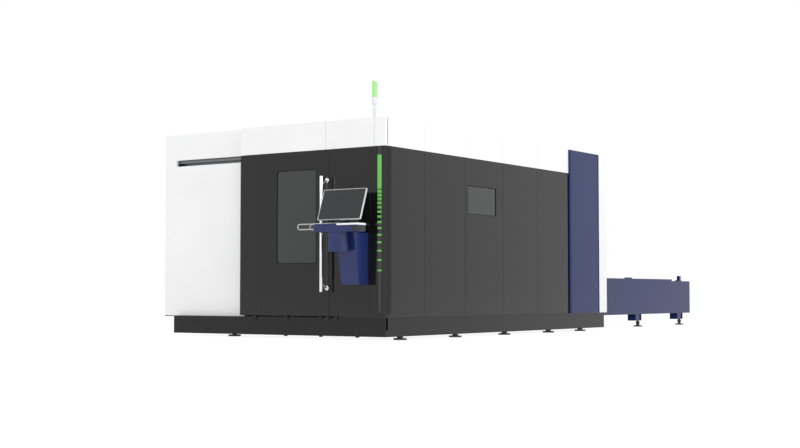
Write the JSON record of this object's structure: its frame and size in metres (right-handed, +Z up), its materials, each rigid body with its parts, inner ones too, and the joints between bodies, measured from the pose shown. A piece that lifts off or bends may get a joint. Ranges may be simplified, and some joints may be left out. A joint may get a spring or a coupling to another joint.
{
  "type": "fiber laser cutting machine",
  "caption": "Enclosed laser cutting machine with a sliding front door, an operator console, a rounded lit corner and an exchange table with pallets behind the enclosure.",
  "frame": {"origin": "on the floor, in the middle of the whole machine's bounding box", "axes": "+X to the operator's right as they face the front door, +Y from the front door to the exchange table, +Z up"},
  "size_m": [3.23, 9.26, 2.704],
  "materials": {
    "dark_paint": "satin dark grey powder coat",
    "white_paint": "satin white powder coat",
    "blue_paint": "satin slate blue powder coat",
    "console_blue": "satin deep blue powder coat",
    "black_paint": "matt black coat",
    "bed_paint": "satin light grey paint",
    "bright_steel": "brushed",
    "plain_steel": "mill finish",
    "aluminium": "anodised",
    "cast": "painted",
    "brass": "turned",
    "white_plastic": "smooth",
    "dark_plastic": "fine grain",
    "screen_glass": "polished",
    "window_glass": "dark laser-safe sheet",
    "red_plastic": "smooth",
    "green_plastic": "smooth",
    "green_light": "translucent",
    "chain_steel": "oiled"
  },
  "bodies": {
    "machine": {"bed_beams": "bed_paint", "bed_cross_members": "bed_paint", "levelling_feet": "cast", "plinth_front": "dark_paint", "plinth_beams": "dark_paint", "corner_post": "dark_paint", "corner_light": "green_light", "left_front_wall": "white_paint", "door_rail": "plain_steel", "front_fixed_panel": "dark_paint", "front_band_panels": "white_paint", "corner_band": "white_paint", "right_wall_panels": "dark_paint", "right_window_wall": "dark_paint", "right_window": "window_glass", "side_band_panels": "white_paint", "left_wall_panels": "white_paint", "right_column": "blue_paint", "left_column": "blue_paint", "rear_walls": "white_paint", "rear_lintel": "white_paint", "roof_panels": "white_paint", "long_guides": "bright_steel", "laser_source": "white_paint", "control_cabinet": "bed_paint", "extraction_duct": "plain_steel", "table_sides": "blue_paint", "table_ties": "blue_paint", "pallet_tracks": "plain_steel", "transfer_motor": "cast", "transfer_chains": "chain_steel", "console_bracket": "console_blue", "console_box": "console_blue", "desk": "console_blue", "desk_handles": "bright_steel", "keyboard": "white_plastic", "monitor_stand": "black_paint", "tower_pole": "white_plastic", "tower_lamp": "green_light", "tower_cap": "white_plastic"},
    "door": {"front_door": "dark_paint", "door_window": "window_glass", "door_handle": "bright_steel", "door_hangers": "plain_steel"},
    "gate": {"rear_gate": "dark_paint"},
    "gantry": {"gantry_beam": "aluminium", "gantry_trucks": "bed_paint", "cross_guides": "bright_steel"},
    "carriage": {"cross_carriage": "aluminium"},
    "head": {"lift_slide": "aluminium", "cutting_head": "white_plastic", "nozzle": "brass"},
    "top_pallet": {"upper_pallet": "plain_steel"},
    "bottom_pallet": {"lower_pallet": "plain_steel"},
    "drive": {"drive_shaft": "bright_steel"},
    "idler": {"idler_shaft": "bright_steel"},
    "monitor": {"monitor_housing": "dark_plastic", "monitor_screen": "screen_glass"},
    "stop_button": {"emergency_stop": "red_plastic"},
    "green_button": {"start_button": "green_plastic"}
  },
  "joints": [
    {"name": "front_door_slide", "type": "slide", "parent": "machine", "child": "door", "axis": [-1, 0, 0], "range_m": [0, 0.97]},
    {"name": "rear_gate_lift", "type": "slide", "parent": "machine", "child": "gate", "axis": [0, 0, 1], "range_m": [0, 0.48]},
    {"name": "gantry_travel", "type": "slide", "parent": "machine", "child": "gantry", "axis": [0, 1, 0], "range_m": [0, 3]},
    {"name": "carriage_travel", "type": "slide", "parent": "gantry", "child": "carriage", "axis": [1, 0, 0], "range_m": [-0.75, 0.75]},
    {"name": "head_lift", "type": "slide", "parent": "carriage", "child": "head", "axis": [0, 0, 1], "range_m": [-0.09, 0.03]},
    {"name": "pallet_exchange", "type": "slide", "parent": "machine", "child": "top_pallet", "axis": [0, 1, 0], "range_m": [0, 4.81]},
    {"name": "lower_pallet_travel", "type": "slide", "parent": "machine", "child": "bottom_pallet", "axis": [0, 1, 0], "range_m": [-4.81, 0]},
    {"name": "drive_shaft_spin", "type": "hinge", "parent": "machine", "child": "drive", "pos_m": [0, 4.525, 0.517], "axis": [-1, 0, 0], "range_deg": [0, 5513]},
    {"name": "idler_shaft_spin", "type": "hinge", "parent": "machine", "child": "idler", "pos_m": [0, -3.755, 0.517], "axis": [-1, 0, 0], "range_deg": [0, 5513]},
    {"name": "monitor_tilt", "type": "hinge", "parent": "machine", "child": "monitor", "pos_m": [1.258, -4.487, 1.368], "axis": [1, 0, 0], "range_deg": [-12, 10]},
    {"name": "emergency_stop_press", "type": "slide", "parent": "machine", "child": "stop_button", "axis": [1, 0, 0], "range_m": [0, 0.005], "stiffness_N_per_m": 1500},
    {"name": "start_button_press", "type": "slide", "parent": "machine", "child": "green_button", "axis": [1, 0, 0], "range_m": [0, 0.004], "stiffness_N_per_m": 900}
  ],
  "couplings": [
    {"joint": "lower_pallet_travel", "follows": "pallet_exchange", "ratio": -1},
    {"joint": "drive_shaft_spin", "follows": "pallet_exchange", "rad_per_m": 20},
    {"joint": "idler_shaft_spin", "follows": "pallet_exchange", "rad_per_m": 20}
  ]
}
